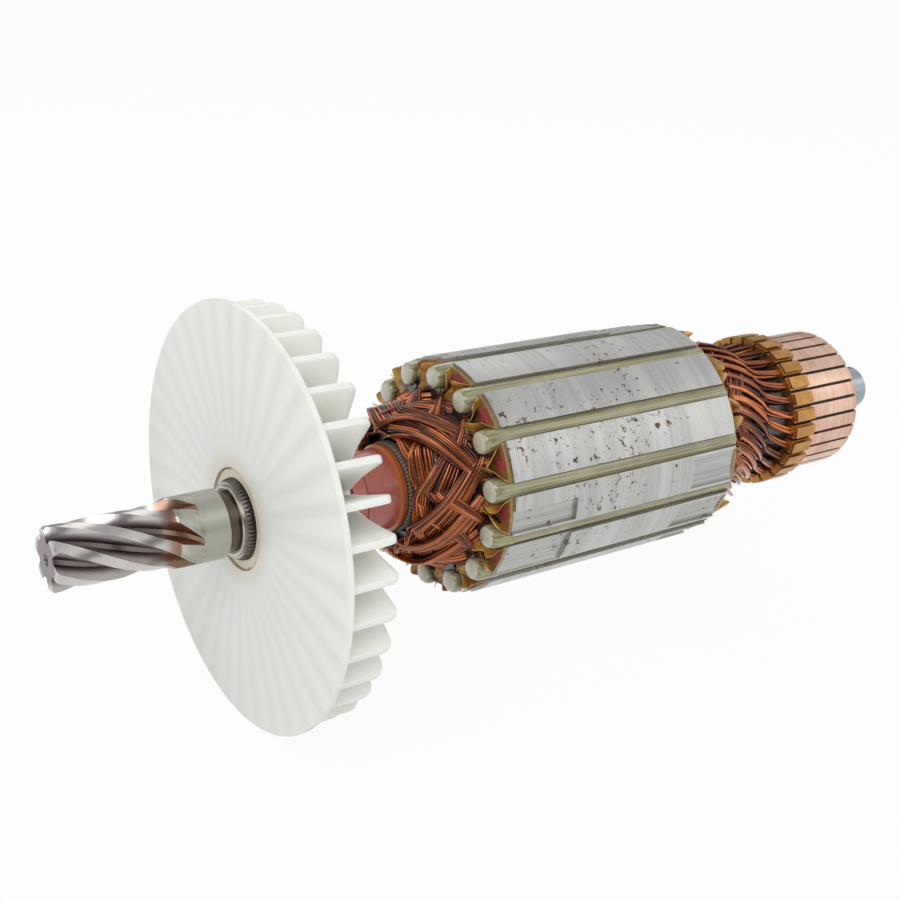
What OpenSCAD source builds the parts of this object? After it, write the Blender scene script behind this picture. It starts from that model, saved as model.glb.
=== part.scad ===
// Motor armature of a large power tool: a shaft with its own helical pinion, a moulded fan,
// a wound laminated core and a commutator.
// X runs along the shaft, from the pinion at -X to the commutator at +X, and +Z is up.
// The origin is on the axis, at the middle of the front bearing seat. Angles run from +Y towards +Z.

/* [Pinion] */
// Number of teeth
pinion_teeth = 6; // [5:1:8]
// Diameter over the tips of the teeth
pinion_tip_d = 13.4; // [12.4:0.2:14]
// Diameter at the roots of the teeth
pinion_root_d = 8.2; // [7:0.2:9.4]
// Helix angle of the teeth at their tips
pinion_helix = 28; // [15:1:35]
// Length from the end of the shaft to the front bearing seat
pinion_len = 25.5; // [18:0.5:34]
// Width of a gash between two teeth, measured at the tips
gash_w = 4.7; // [3.6:0.1:5.2]
// Width of the flat floor of a gash
gash_floor_w = 1; // [0.6:0.1:1.6]
// How far short of the bearing seat a gash stops being at full depth
gash_stop = 5.1; // [4.6:0.1:8]
// Length of the cone from the tooth tips up to the bearing seat
tip_cone_len = 1.6; // [0.8:0.2:2.4]
// Radius of the hob that left the run-out of each gash
hob_r = 17; // [12:1:17]
// Turn of the first gash where it runs out
pinion_turn = 2.4; // [0:0.2:59]
// Diameter of the centre drilling in both shaft ends
centre_d = 2.6; // [1.6:0.2:3.4]

/* [Shaft] */
// Diameter of the front bearing seat
front_seat_d = 15; // [14.4:0.2:16]
// Length of the front bearing seat
front_seat_len = 11; // [9:0.5:14]
// Diameter of the neck behind the front bearing seat
neck_d = 13.2; // [11:0.2:14]
// Length of that neck
neck_len = 2.3; // [1:0.1:4]
// Diameter of the knurled collar that carries the fan, over its ridges
knurl_d = 17.8; // [16.6:0.2:19]
// Depth of the knurling
knurl_depth = 0.55; // [0.3:0.05:0.8]
// Number of ridges of the knurling
knurl_teeth = 60; // [36:2:72]
// Length of the knurled collar that shows in front of the fan
knurl_showing = 2; // [1:0.1:4]
// Diameter of the shaft between the fan and the commutator
body_d = 15; // [14:0.2:16]
// Diameter of the commutator's seat
comm_seat_d = 14; // [13:0.2:15]
// Diameter of the rear bearing seat
rear_seat_d = 12; // [10:0.2:12.6]
// Length of the shaft behind the commutator bars
rear_len = 19.9; // [14:0.1:26]
// Length of the ground rear bearing seat
rear_seat_len = 13; // [9:0.5:13]
// Diameter of the shaft between the commutator and the rear bearing seat
rear_neck_d = 12.8; // [12.7:0.1:13.8]
// Chamfer at the shaft ends
shaft_chamfer = 0.8; // [0.3:0.1:1.2]

/* [Fan] */
// Diameter of the fan's disc
fan_d = 93.6; // [80:0.4:104]
// Thickness of the fan's disc
fan_disc_t = 1.5; // [1:0.1:3]
// Number of blades
blade_count = 36; // [24:1:40]
// Thickness of a blade
blade_t = 1.7; // [1:0.1:2.4]
// How far a blade's outer end lies inside the edge of the disc
blade_inset = 1.1; // [0.4:0.1:3]
// Depth of the fan at the blades' outer ends, from the front of the disc
blade_outer_depth = 13; // [8:0.5:16]
// Depth of the fan at its hub, from the front of the disc
fan_depth = 21.5; // [18:0.5:23]
// Outer diameter of the fan's hub
fan_hub_d = 29; // [26:0.5:34]
// Turn of the first blade from the first tooth of the core
blade_turn = 6.3; // [0:0.1:9]
// Distance of the three ejector marks from the axis
ejector_r = 24; // [18:0.5:32]
// Diameter of an ejector mark
ejector_d = 3; // [2:0.2:5]
// Turn of the first ejector mark
ejector_turn = 31; // [0:1:119]

/* [Fan bush] */
// Outer diameter of the bush in the fan's hub
bush_d = 22.4; // [20.4:0.2:24]
// How far the bush lies behind the face of the disc
bush_recess = 0.4; // [0.1:0.1:1]

/* [Front sleeve] */
// Gap between the fan's hub and the sleeve, where the shaft shows
sleeve_gap = 2.9; // [1:0.1:5]
// Outer diameter of the sleeve's nose
sleeve_nose_d = 16.9; // [16.8:0.1:17.4]
// Length of the sleeve's nose
sleeve_nose_len = 3.5; // [2:0.1:6]
// Diameter at the step behind the nose
sleeve_step_d = 17.5; // [17.4:0.1:18.2]
// Length of the flared part
sleeve_flare_len = 7.6; // [5:0.1:10]
// Diameter at the end of the flare
sleeve_flare_d = 18.9; // [18.4:0.1:19.4]
// Diameter of the sleeve's flange
sleeve_flange_d = 20.2; // [19.6:0.1:20.8]
// Thickness of the flange
sleeve_flange_t = 1.8; // [1:0.1:3]
// Diameter of the sleeve where it runs into the core
sleeve_tail_d = 18; // [17:0.1:18.4]

/* [Binding] */
// Diameter over the cord wound behind the flange
binding_d = 21; // [20:0.2:22]
// Number of turns of the cord
binding_turns = 3; // [2:1:4]
// Diameter of the cord
cord_d = 0.9; // [0.6:0.05:1.1]

/* [Core] */
// Diameter of the laminated core
stack_d = 56; // [54:0.5:60]
// Length of the laminated core
stack_len = 67.6; // [50:0.5:80]
// Distance from the face of the fan to the core
stack_from_fan = 53.3; // [52:0.1:60]
// Number of slots
slot_count = 14; // [14:2:14]
// Width of a slot's mouth
slot_mouth = 3.2; // [2.4:0.1:4]
// Thickness of the tooth lips beside the mouth
lip_t = 1.1; // [0.8:0.1:1.6]
// Radius at the centre of a slot's round floor
slot_floor_r = 15.8; // [15.4:0.1:17]
// Half width of a slot at its floor
slot_floor_w = 1.35; // [1.1:0.05:1.5]
// Diameter of the bore for the insulating tube
core_bore_d = 18.6; // [18:0.1:20]
// Thickness of the fibre sheets at both ends of the core
end_sheet_t = 1; // [0.6:0.1:1.6]
// How far those sheets lie inside the core's outer diameter
end_sheet_inset = 0.7; // [0.2:0.1:2]

/* [Slot closing] */
// Diameter of a slot wedge rod
wedge_d = 5.4; // [5:0.1:5.6]
// How far a wedge rod stands out of the core at the fan end
wedge_out = 4.6; // [3:0.1:6]
// Thickness of the slot liners
liner_t = 0.3; // [0.2:0.05:0.4]
// How far the liners stand out of the core, at the least
liner_out = 2.2; // [1.4:0.1:2.4]
// How much the liners' ends vary from slot to slot
liner_vary = 1.2; // [0:0.1:1.4]

/* [Windings] */
// Diameter of the winding wire
wire_d = 1.1; // [0.7:0.05:1.4]
// Wires side by side in a bundle
bundle_wires = 5; // [3:1:6]
// Distance from the axis at which the bundles pass the sleeve
pass_r = 13.4; // [13:0.1:14.4]
// Distance from the axis at which the bundles leave the slots at the commutator end
leave_r = 21.2; // [20:0.1:22]
// Distance from the axis at which the bundles leave the slots at the fan end
front_leave_r = 19.4; // [18.8:0.1:20.4]
// Radius of the front winding where it bulges
front_bulge_r = 18.6; // [18:0.1:19.4]
// Radius of the waist between that bulge and the core
front_waist_r = 18; // [17:0.1:18.6]
// Length of the front winding, from the core
front_winding_len = 17; // [15.6:0.1:17.4]
// Length of the rear winding, from the core
rear_winding_len = 21; // [16:0.5:22]
// Radius of the rear winding where the leads begin
rear_edge_r = 18.8; // [18:0.1:20]
// Radius of the neck between the rear winding and the commutator
neck_r = 16.4; // [14:0.1:17]
// Diameter of the winding where the leads reach the commutator
lead_d = 37.6; // [34:0.2:38]
// How far round the leads run between the rear winding and the commutator
lead_twist = 24; // [0:2:40]

/* [Commutator] */
// Number of bars
bar_count = 28; // [28:14:28]
// Diameter of the running surface
comm_d = 37.3; // [36:0.1:39]
// Diameter over the risers
riser_d = 40.6; // [39.4:0.1:42]
// Length of the risers
riser_len = 7.3; // [5:0.1:9]
// Length of the bars, risers and all
bar_len = 26.2; // [22:0.1:32]
// Distance from the core to the bars
comm_from_core = 31.1; // [29:0.1:36]
// Depth of a bar below the running surface
bar_h = 5.4; // [4.6:0.1:6]
// Width of the gap between two bars
bar_gap = 0.8; // [0.5:0.05:1]
// Depth of the undercut between two bars
undercut = 1.1; // [0.6:0.1:1.6]
// Length of the dovetail by which a bar is held at each end
dovetail_len = 2; // [1:0.1:4]
// Chamfer at the free end of a bar
bar_chamfer = 0.6; // [0.2:0.1:1]
// Width of the tab on a riser
tab_w = 3; // [2.4:0.1:3.3]

/* [Balance cuts] */
// Depth of a balance cut below the core's surface
cut_depth = 0.9; // [0.3:0.1:1]
// Length of the balance cuts at the fan end
front_cut_len = 17.7; // [10:0.1:24]
// Length of the balance cuts at the commutator end
rear_cut_len = 14; // [10:0.5:20]

/* [Hidden] */
$fn = 96;
eps = 0.01;
// slip between pieces that are pushed together by hand
slip = 0.05;

wedge_nodes = [for (i = [1:slot_count]) str("slot_wedge_", i)];
bar_nodes = [for (i = [1:bar_count]) str("commutator_bar_", i)];

// stations along the shaft
front_end = -front_seat_len / 2 - pinion_len;
seat_back = front_seat_len / 2;
knurl_front = seat_back + neck_len;
fan_front = knurl_front + knurl_showing;
fan_back = fan_front + fan_depth;
knurl_back = fan_back - 2 * knurl_depth;
sleeve_front = fan_back + sleeve_gap;
step_x = sleeve_front + sleeve_nose_len;
flare_back = step_x + sleeve_flare_len;
flange_back = flare_back + sleeve_flange_t;
stack_front = fan_front + stack_from_fan;
stack_back = stack_front + stack_len;
comm_front = stack_back + comm_from_core;
comm_back = comm_front + bar_len;
rear_end = comm_back + rear_len;
rear_seat_front = rear_end - rear_seat_len;

// core and slots
slot_pitch = 360 / slot_count;
wedge_r = stack_d / 2 - lip_t - wedge_d / 2 + 0.5;
slot_seat_d = wedge_d + 2 * slip;
liner_top_r = wedge_r - wedge_d / 2 + 0.8;

// commutator
bar_pitch = 360 / bar_count;
bar_root_r = comm_d / 2 - bar_h;
dovetail_r = bar_root_r + bar_h * 0.45;

// Puts a shape built round the local Z axis onto the shaft, with its foot at x.
module on_shaft(x = 0) {
    translate([x, 0, 0]) rotate([90, 0, 90]) children();
}

// Turned body from a list of [x, radius] corners, closed along the axis or at bore_r.
module turned(corners, bore_r = 0) {
    first = corners[0];
    last = corners[len(corners) - 1];
    outline = [for (c = corners) [c[1], c[0]]];
    on_shaft() rotate_extrude() polygon(concat([[bore_r, first[0]]], outline, [[bore_r, last[0]]]));
}

// Skin over rings that close up on themselves round the shaft.
module ring_skin(rings) {
    n = len(rings[0]);
    count = len(rings);
    polyhedron([for (r = rings) each r], [for (i = [0:count - 1]) for (j = [0:n - 1])
        let (k = (j + 1) % n, a = i * n, b = (i + 1) % count * n)
        each [[a + j, b + k, a + k], [a + j, b + j, b + k]]]);
}

// ---- Shaft and pinion ----

twist_per_mm = tan(pinion_helix) * 180 / (PI * pinion_tip_d / 2);
seat_front = -front_seat_len / 2;
// the gashes have run out here, and behind it the seat is whole
seat_whole_x = -0.5;
// the part of the seat that the gashes run into is relieved by this much
seat_relief = 0.03;
tip_r = pinion_tip_d / 2;
tip_chamfer = 0.5;
cone_front = seat_front - tip_cone_len;
gash_depth = (pinion_tip_d - pinion_root_d) / 2;
gash_full_x = seat_front - gash_stop;

// Radius over the tips: the teeth, then a cone up to the bearing seat.
function tip_radius(x) = x < cone_front ? tip_r
    : min(front_seat_d / 2 - seat_relief, tip_r + (x - cone_front) / tip_cone_len * (front_seat_d - pinion_tip_d) / 2);

// Radius of a gash's floor: level along the teeth, then rising on the hob's curve.
function floor_radius(x) = pinion_root_d / 2
    + (x > gash_full_x ? hob_r - sqrt(pow(hob_r, 2) - pow(x - gash_full_x, 2)) : 0);

// Half width of a gash at a height above its floor, with rounded tooth flanks.
function gash_half(h) = gash_floor_w / 2
    + (gash_w - gash_floor_w) / 2 * (0.72 * h / gash_depth + 0.28 * pow(h / gash_depth, 2));

// Outline of the teeth at x: for each gash its two flanks, then the land of the next tooth.
function tooth_ring(x, outer) = let (
        floor = min(floor_radius(x), outer),
        flank = [for (s = [1, 0.7, 0.4, 0.14, 0]) let (h = s * (outer - floor))
            [floor + h, max(gash_half(h), gash_floor_w / 2 + 0.5 * s) / (floor + h) * 180 / PI]],
        edge = flank[0][1],
        pitch = 360 / pinion_teeth,
        gash = concat([for (p = flank) [p[0], -p[1]]], [for (k = [4:-1:0]) flank[k]],
            [for (k = [1:2]) [outer, edge + (pitch - 2 * edge) * k / 3]])
    )
    [for (i = [0:pinion_teeth - 1]) for (p = gash) let (a = p[1] + pinion_turn + i * pitch + x * twist_per_mm)
        [x, p[0] * cos(a), p[0] * sin(a)]];

function circle_ring(x, r, like) = [for (p = like) let (l = norm([p[1], p[2]])) [x, p[1] / l * r, p[2] / l * r]];

// The toothed end of the shaft, with its centre drilling, up to where the gashes have run out.
module toothed_end() {
    steps = 24;
    x_end = seat_whole_x;
    start = front_end + tip_chamfer;
    face = tooth_ring(front_end, tip_r - tip_chamfer);
    n = len(face);
    rings = concat(
        [circle_ring(front_end, centre_d / 2, face), face],
        [for (i = [0:steps]) let (x = start + (x_end - start) * i / steps) tooth_ring(x, tip_radius(x))]);
    last = len(rings) - 1;
    points = concat([for (r = rings) each r], [[front_end + centre_d * 0.8, 0, 0], [x_end, 0, 0]]);
    drill = len(points) - 2;
    hub = len(points) - 1;
    polyhedron(points, concat(
        [for (i = [0:last - 1]) for (j = [0:n - 1]) let (k = (j + 1) % n, a = i * n, b = (i + 1) * n)
            each [[a + j, b + k, a + k], [a + j, b + j, b + k]]],
        [for (j = [0:n - 1]) let (k = (j + 1) % n) each [[drill, j, k], [hub, last * n + k, last * n + j]]]));
}

module rotor_shaft() {
    seat_r = front_seat_d / 2;
    knurl_r = knurl_d / 2;
    rim_r = (front_seat_d + 0.5) / 2;
    color("silver") {
        toothed_end();
        difference() {
            union() {
                turned([
                    [seat_whole_x, seat_r], [seat_back - 0.3, seat_r], [seat_back, seat_r - 0.3],
                    [seat_back, neck_d / 2], [knurl_front, neck_d / 2], [knurl_front, rim_r - 0.2],
                    [knurl_front + 0.2, rim_r], [knurl_front + 0.5, rim_r],
                    [knurl_front + 0.5, knurl_r - knurl_depth], [knurl_back, knurl_r - knurl_depth],
                    [knurl_back, body_d / 2], [comm_front - 2, body_d / 2], [comm_front - 1, comm_seat_d / 2],
                    [comm_back, comm_seat_d / 2], [comm_back, rear_neck_d / 2],
                    [rear_seat_front, rear_neck_d / 2], [rear_seat_front, rear_seat_d / 2],
                    [rear_end - shaft_chamfer, rear_seat_d / 2], [rear_end, rear_seat_d / 2 - shaft_chamfer]]);
                knurling();
            }
            translate([rear_end + eps, 0, 0]) rotate([0, -90, 0])
                cylinder(d1 = centre_d, d2 = 0.2, h = centre_d * 0.87);
        }
    }
}

// Straight knurling, with a lead-in at its front.
module knurling() {
    knurl_r = knurl_d / 2;
    start = knurl_front + 0.5;
    intersection() {
        on_shaft(start) linear_extrude(knurl_back - start) polygon([
            for (i = [0:2 * knurl_teeth - 1]) let (r = knurl_r - (i % 2 == 0 ? 0 : knurl_depth + 0.1))
            [r * cos(i * 180 / knurl_teeth), r * sin(i * 180 / knurl_teeth)]]);
        turned([[start, knurl_r - knurl_depth - 0.05], [start + 1.3, knurl_r + eps], [knurl_back, knurl_r + eps]]);
    }
}

// ---- Fan ----

// Depth of a blade's free edge at a distance from the axis: shallow outside, deep at the hub.
function blade_depth(r) = let (outer = fan_d / 2 - blade_inset, inner = fan_hub_d / 2)
    blade_outer_depth + (fan_depth - 0.6 - blade_outer_depth) * pow((outer - r) / (outer - inner), 1.6);

module blade() {
    outer = fan_d / 2 - blade_inset;
    inner = fan_hub_d / 2 - 0.6;
    steps = 6;
    free_edge = [for (i = [0:steps]) let (r = outer - (outer - fan_hub_d / 2) * i / steps) [r, blade_depth(r)]];
    rotate([90, 0, 0]) translate([0, 0, -blade_t / 2]) linear_extrude(blade_t)
        polygon(concat([[inner, fan_disc_t / 2], [outer + 0.5, fan_disc_t / 2]], free_edge,
            [[inner, fan_depth - 0.6]]));
}

module cooling_fan() {
    bore_r = bush_d / 2 + slip;
    rim_r = fan_d / 2;
    hub_r = fan_hub_d / 2;
    color("ivory") difference() {
        union() {
            turned([[fan_front, rim_r - 0.4], [fan_front + 0.4, rim_r], [fan_front + fan_disc_t - 0.2, rim_r],
                [fan_front + fan_disc_t, rim_r - 0.2], [fan_front + fan_disc_t, hub_r],
                [fan_back - 1, hub_r - 1], [fan_back, hub_r - 2]], bore_r);
            on_shaft(fan_front) for (i = [0:blade_count - 1]) rotate(blade_turn + i * 360 / blade_count) blade();
        }
        on_shaft(fan_front) for (i = [0:2]) rotate(ejector_turn + i * 120) translate([ejector_r, 0, -eps])
            cylinder(d = ejector_d, h = 0.2);
    }
}

module fan_bush() {
    color("khaki") turned([[fan_front + bush_recess, bush_d / 2 - 0.3], [fan_front + bush_recess + 0.3, bush_d / 2],
        [fan_back, bush_d / 2]], knurl_d / 2 + slip);
}

// ---- Insulation on the shaft ----

module front_sleeve() {
    color("indianred") turned([
        [sleeve_front, sleeve_nose_d / 2], [step_x, sleeve_nose_d / 2], [step_x, sleeve_step_d / 2],
        [flare_back, sleeve_flare_d / 2], [flare_back + 0.4, sleeve_flange_d / 2],
        [flange_back - 0.4, sleeve_flange_d / 2], [flange_back, sleeve_flange_d / 2 - 0.4],
        [flange_back, sleeve_tail_d / 2], [stack_front - end_sheet_t - 0.5, sleeve_tail_d / 2]],
        body_d / 2);
}

module binding_cord() {
    pitch = cord_d * 0.9;
    color("dimgray") turned([for (i = [0:binding_turns * 6]) let (
            x = flange_back + 0.1 + i * pitch / 6,
            swell = cord_d / 4 * (1 - cos(i * 60))
        ) [x, binding_d / 2 - cord_d / 2 + swell]], sleeve_tail_d / 2);
}

module core_tube() {
    color("sienna") turned([[stack_front - end_sheet_t - 0.4, core_bore_d / 2 - slip],
        [comm_front - 3, core_bore_d / 2 - slip]], body_d / 2);
}

// ---- Core ----

// Section of the wound part of a slot, shrunk on all sides by inset.
module slot_well(inset = 0) {
    bottom_r = slot_floor_w - inset;
    side = wedge_d / 2 - 0.15 - inset;
    circle(r = bottom_r, $fn = 32);
    polygon([[0, -bottom_r], [liner_top_r - slot_floor_r, -side], [liner_top_r - slot_floor_r, side], [0, bottom_r]]);
}

// Section of a whole slot, at angle 0.
module slot_section() {
    translate([slot_floor_r, 0]) slot_well();
    translate([liner_top_r - eps, -wedge_d / 2 + 0.15])
        square([wedge_r - liner_top_r + eps, wedge_d - 0.3]);
    translate([wedge_r, 0]) circle(d = slot_seat_d, $fn = 48);
    translate([wedge_r, -slot_mouth / 2]) square([stack_d / 2 - wedge_r + 1, slot_mouth]);
}

module at_slots() {
    for (i = [0:slot_count - 1]) rotate((i + 0.5) * slot_pitch) children();
}

module core_section(outer_r) {
    difference() {
        circle(r = outer_r, $fn = 180);
        circle(d = core_bore_d);
        at_slots() slot_section();
    }
}

// Flat milled along a tooth from one end of the core. Side turns it off the tooth's middle.
module balance_cut(tooth, length, width, at_front = true, side = 0) {
    x = at_front ? stack_front - 1 : stack_back - length;
    rotate([tooth * slot_pitch + side, 0, 0]) translate([x, stack_d / 2 - cut_depth, -width / 2])
        cube([length + 1, 4, width]);
}

module core_laminations() {
    whole_tooth = 12;
    color("lightgray") difference() {
        on_shaft(stack_front) linear_extrude(stack_len) core_section(stack_d / 2);
        balance_cut(7, front_cut_len, 5.4, side = 3);
        balance_cut(8, front_cut_len, whole_tooth);
        balance_cut(7, rear_cut_len, 8, at_front = false);
        balance_cut(8, rear_cut_len + 2, 8, at_front = false);
        balance_cut(9, rear_cut_len, 8, at_front = false);
        balance_cut(3, rear_cut_len + 4, whole_tooth, at_front = false);
    }
}

module end_sheet(x) {
    color("firebrick") on_shaft(x) linear_extrude(end_sheet_t) core_section(stack_d / 2 - end_sheet_inset);
}

module end_sheet_front() {
    end_sheet(stack_front - end_sheet_t);
}

module end_sheet_rear() {
    end_sheet(stack_back);
}

// Extra length of a liner's end, which differs from slot to slot.
function liner_extra(i, end) = liner_vary * (0.5 + 0.5 * sin(i * 137 + end * 71));

module slot_liners() {
    color("goldenrod") for (i = [0:slot_count - 1]) rotate([(i + 0.5) * slot_pitch, 0, 0]) {
        front = liner_out + liner_extra(i, 0);
        rear = liner_out + liner_extra(i, 1);
        on_shaft(stack_front - front) linear_extrude(stack_len + front + rear) difference() {
            translate([slot_floor_r, 0]) slot_well(slip);
            translate([slot_floor_r, 0]) slot_well(slip + liner_t);
            translate([liner_top_r - 0.4, -wedge_d]) square([1, 2 * wedge_d]);
        }
    }
}

module slot_coils() {
    fill = slip + liner_t + slip;
    color("peru") on_shaft(stack_front - winding_foot) linear_extrude(stack_len + 2 * winding_foot) at_slots()
        difference() {
            translate([slot_floor_r, 0]) slot_well(fill);
            translate([wedge_r, 0]) circle(d = slot_seat_d + 0.1, $fn = 48);
        }
}

module slot_wedge(i) {
    r = wedge_d / 2;
    head = stack_front - wedge_out + r;
    color("darkkhaki") rotate([(i - 0.5) * slot_pitch, 0, 0]) translate([0, wedge_r, 0]) {
        translate([head, 0, 0]) rotate([0, 90, 0]) cylinder(r = r, h = stack_back + end_sheet_t - head, $fn = 48);
        translate([head, 0, 0]) rotate([0, 90, 0]) sphere(r = r, $fn = 48);
    }
}

// ---- End windings ----

// The wires lie side by side in straight bundles that pass the shaft at pass_r. At distance r from
// the axis such a bundle has come round by this angle.
function sweep(r) = acos(min(1, pass_r / r));

// Height of the wires' ridges at a place in their pattern, which repeats once a wire. Every bundle
// is proudest in the middle.
function ridge(a) = let (
        wire = a * slot_count * bundle_wires / 360,
        bundle = a * slot_count / 360
    ) wire_d * (0.28 * abs(2 * (wire - floor(wire)) - 1) + 0.35 * abs(cos(bundle * 180)));

// A mass of wires round the shaft. Each row of the profile is [x, radius, turn of the pattern there,
// share of the ridge height], and the rows run round the section.
module wound_mass(profile) {
    n = len(profile);
    steps = slot_count * bundle_wires * 2;
    normals = [for (j = [0:n - 1]) let (
            a = profile[(j + n - 1) % n],
            b = profile[(j + 1) % n],
            dx = b[0] - a[0],
            dr = b[1] - a[1],
            l = norm([dx, dr])
        ) [-dr / l, dx / l]];
    ring_skin([for (i = [0:steps - 1]) let (a = i * 360 / steps)
        [for (j = [0:n - 1]) let (
            p = profile[j],
            rise = p[3] == 0 ? 0 : p[3] * ridge(a + slot_pitch / 2 / bundle_wires),
            x = p[0] + rise * normals[j][0],
            r = p[1] + rise * normals[j][1]
        ) [x, r * cos(a + p[2]), r * sin(a + p[2])]]]);
}

// the coils and the end windings meet this far outside the core, just past the longest liner
winding_foot = liner_out + liner_vary + 0.1;
rear_lean = 26;

module front_winding() {
    foot = stack_front - winding_foot;
    tip = stack_front - front_winding_len;
    long = foot - tip;
    bore_r = binding_d / 2 + 0.2;
    lean = 14;
    // [share of the winding's length, radius]
    shape = [[0, pass_r - 0.6], [0, pass_r + 1], [0.07, front_bulge_r - 1.6], [0.2, front_bulge_r - 0.4],
        [0.4, front_bulge_r], [0.66, front_waist_r], [0.86, front_waist_r + 0.4]];
    color("saddlebrown") wound_mass(concat(
        [for (s = shape) [tip + s[0] * long, s[1], -sweep(s[1]) - lean * s[0], s[1] < pass_r ? 0 : 1]],
        [[foot, front_leave_r, -sweep(front_leave_r) - lean, 0], [foot, bore_r, 0, 0], [tip + 2, bore_r, 0, 0]]));
}

module rear_winding() {
    foot = stack_back + winding_foot;
    tip = stack_back + rear_winding_len;
    long = tip - foot;
    bore_r = core_bore_d / 2 + 0.2;
    // [share of the winding's length, radius]
    fall = leave_r - rear_edge_r;
    shape = [[0.16, leave_r], [0.38, leave_r - fall * 0.1], [0.6, leave_r - fall * 0.25],
        [0.8, leave_r - fall * 0.5], [1, rear_edge_r]];
    color("saddlebrown") wound_mass(concat(
        [[tip, bore_r, 0, 0], [foot, bore_r, 0, 0], [foot, leave_r - 0.4, sweep(leave_r), 0]],
        [for (s = shape) [foot + s[0] * long, s[1], sweep(s[1]) - rear_lean * s[0], s[0] == 1 ? 0 : 1]]));
}

// The coil ends that run from the rear winding to the risers.
module commutator_leads() {
    start = stack_back + rear_winding_len;
    tip = comm_front;
    long = tip - start;
    bore_r = core_bore_d / 2 + 0.2;
    lead_r = lead_d / 2;
    // [share of the leads' length, radius]
    shape = [[0, rear_edge_r], [0.16, (rear_edge_r + neck_r) / 2], [0.34, neck_r], [0.52, neck_r + 0.4],
        [0.72, lead_r - 0.7], [1, lead_r]];
    first_turn = sweep(rear_edge_r) - rear_lean;
    color("saddlebrown") wound_mass(concat(
        [[tip, bore_r, 0, 0], [start, bore_r, 0, 0]],
        [for (s = shape) [start + s[0] * long, s[1], first_turn + lead_twist * s[0], s[0] % 1 == 0 ? 0 : 1]]));
}

// ---- Commutator ----

// Wedge-shaped outline of one bar, with sides that leave an even gap to its neighbours.
module bar_outline(gap) {
    half = bar_pitch / 2;
    tip = gap / 2 / sin(half);
    reach = riser_d;
    polygon([[tip, 0], [tip + reach * cos(half), -reach * sin(half)], [tip + reach * cos(half), reach * sin(half)]]);
}

// Underside of a bar, from its free end to its riser: a foot between two dovetail recesses.
function bar_foot() = let (front = comm_front + dovetail_len, back = comm_back - dovetail_len)
    [[comm_back, dovetail_r], [back, bar_root_r + 1], [back, bar_root_r], [front, bar_root_r],
     [front, bar_root_r + 1], [comm_front, dovetail_r]];

module commutator_bar(i) {
    r = comm_d / 2;
    riser_r = riser_d / 2;
    step_r = riser_r - 0.9;
    shape = concat(
        [[comm_front, step_r], [comm_front + riser_len - 0.7, step_r], [comm_front + riser_len, r],
         [comm_back - bar_chamfer, r], [comm_back, r - bar_chamfer]], bar_foot());
    color("burlywood") rotate([(i - 1) * bar_pitch, 0, 0]) {
        intersection() {
            on_shaft() rotate_extrude() polygon([for (c = shape) [c[1], c[0]]]);
            on_shaft(comm_front - 1) linear_extrude(bar_len + 2) bar_outline(bar_gap);
        }
        translate([comm_front + 0.3, r - 0.5, -tab_w / 2]) cube([riser_len - 0.6, riser_r - r + 0.5, tab_w]);
    }
}

module commutator_mica() {
    top_r = comm_d / 2 - undercut;
    t = bar_gap - 2 * slip;
    shape = concat([[comm_front, top_r], [comm_back, top_r]], bar_foot());
    color("saddlebrown") for (i = [0:bar_count - 1]) rotate([(i + 0.5) * bar_pitch, 0, 0])
        translate([0, 0, -t / 2]) linear_extrude(t) polygon(shape);
}

// The moulding fills the bars' dovetails from inside, a slip fit away.
module commutator_moulding() {
    front = comm_front + dovetail_len - slip;
    back = comm_back - dovetail_len + slip;
    root = bar_root_r - slip;
    color("dimgray") turned([[comm_front, dovetail_r - slip], [front, bar_root_r + 1 - slip], [front, root],
        [back, root], [back, bar_root_r + 1 - slip], [comm_back, dovetail_r - slip]], comm_seat_d / 2);
}

rotor_shaft();
cooling_fan();
fan_bush();
front_sleeve();
binding_cord();
core_tube();
core_laminations();
end_sheet_front();
end_sheet_rear();
slot_liners();
slot_coils();
front_winding();
rear_winding();
commutator_leads();
commutator_moulding();
commutator_mica();
for (i = [1:slot_count]) slot_wedge(i);
for (i = [1:bar_count]) commutator_bar(i);
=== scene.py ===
import math
import random
import bpy
from mathutils import Matrix, Vector, noise


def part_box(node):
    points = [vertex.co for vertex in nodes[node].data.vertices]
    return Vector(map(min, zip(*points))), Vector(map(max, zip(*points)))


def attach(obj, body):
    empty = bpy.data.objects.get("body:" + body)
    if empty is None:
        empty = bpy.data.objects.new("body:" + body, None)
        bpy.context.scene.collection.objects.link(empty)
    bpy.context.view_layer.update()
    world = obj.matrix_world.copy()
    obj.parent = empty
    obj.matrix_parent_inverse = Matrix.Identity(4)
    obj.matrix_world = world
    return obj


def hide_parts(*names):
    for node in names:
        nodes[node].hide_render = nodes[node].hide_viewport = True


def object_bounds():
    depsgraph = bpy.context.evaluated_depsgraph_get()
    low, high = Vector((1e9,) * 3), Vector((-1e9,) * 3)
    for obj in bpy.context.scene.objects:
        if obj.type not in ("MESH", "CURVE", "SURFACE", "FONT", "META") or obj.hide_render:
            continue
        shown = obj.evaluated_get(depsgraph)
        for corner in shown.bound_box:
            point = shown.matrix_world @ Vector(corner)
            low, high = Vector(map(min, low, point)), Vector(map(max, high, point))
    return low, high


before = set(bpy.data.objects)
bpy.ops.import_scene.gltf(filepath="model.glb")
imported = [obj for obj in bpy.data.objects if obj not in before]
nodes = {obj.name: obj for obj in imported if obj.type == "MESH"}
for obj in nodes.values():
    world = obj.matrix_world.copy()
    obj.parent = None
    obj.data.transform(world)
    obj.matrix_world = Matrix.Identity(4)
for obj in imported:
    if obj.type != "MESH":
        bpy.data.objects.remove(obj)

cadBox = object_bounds()
mm = 0.001


def makeActive(obj):
    bpy.ops.object.select_all(action="DESELECT")
    obj.select_set(True)
    bpy.context.view_layer.objects.active = obj


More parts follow.
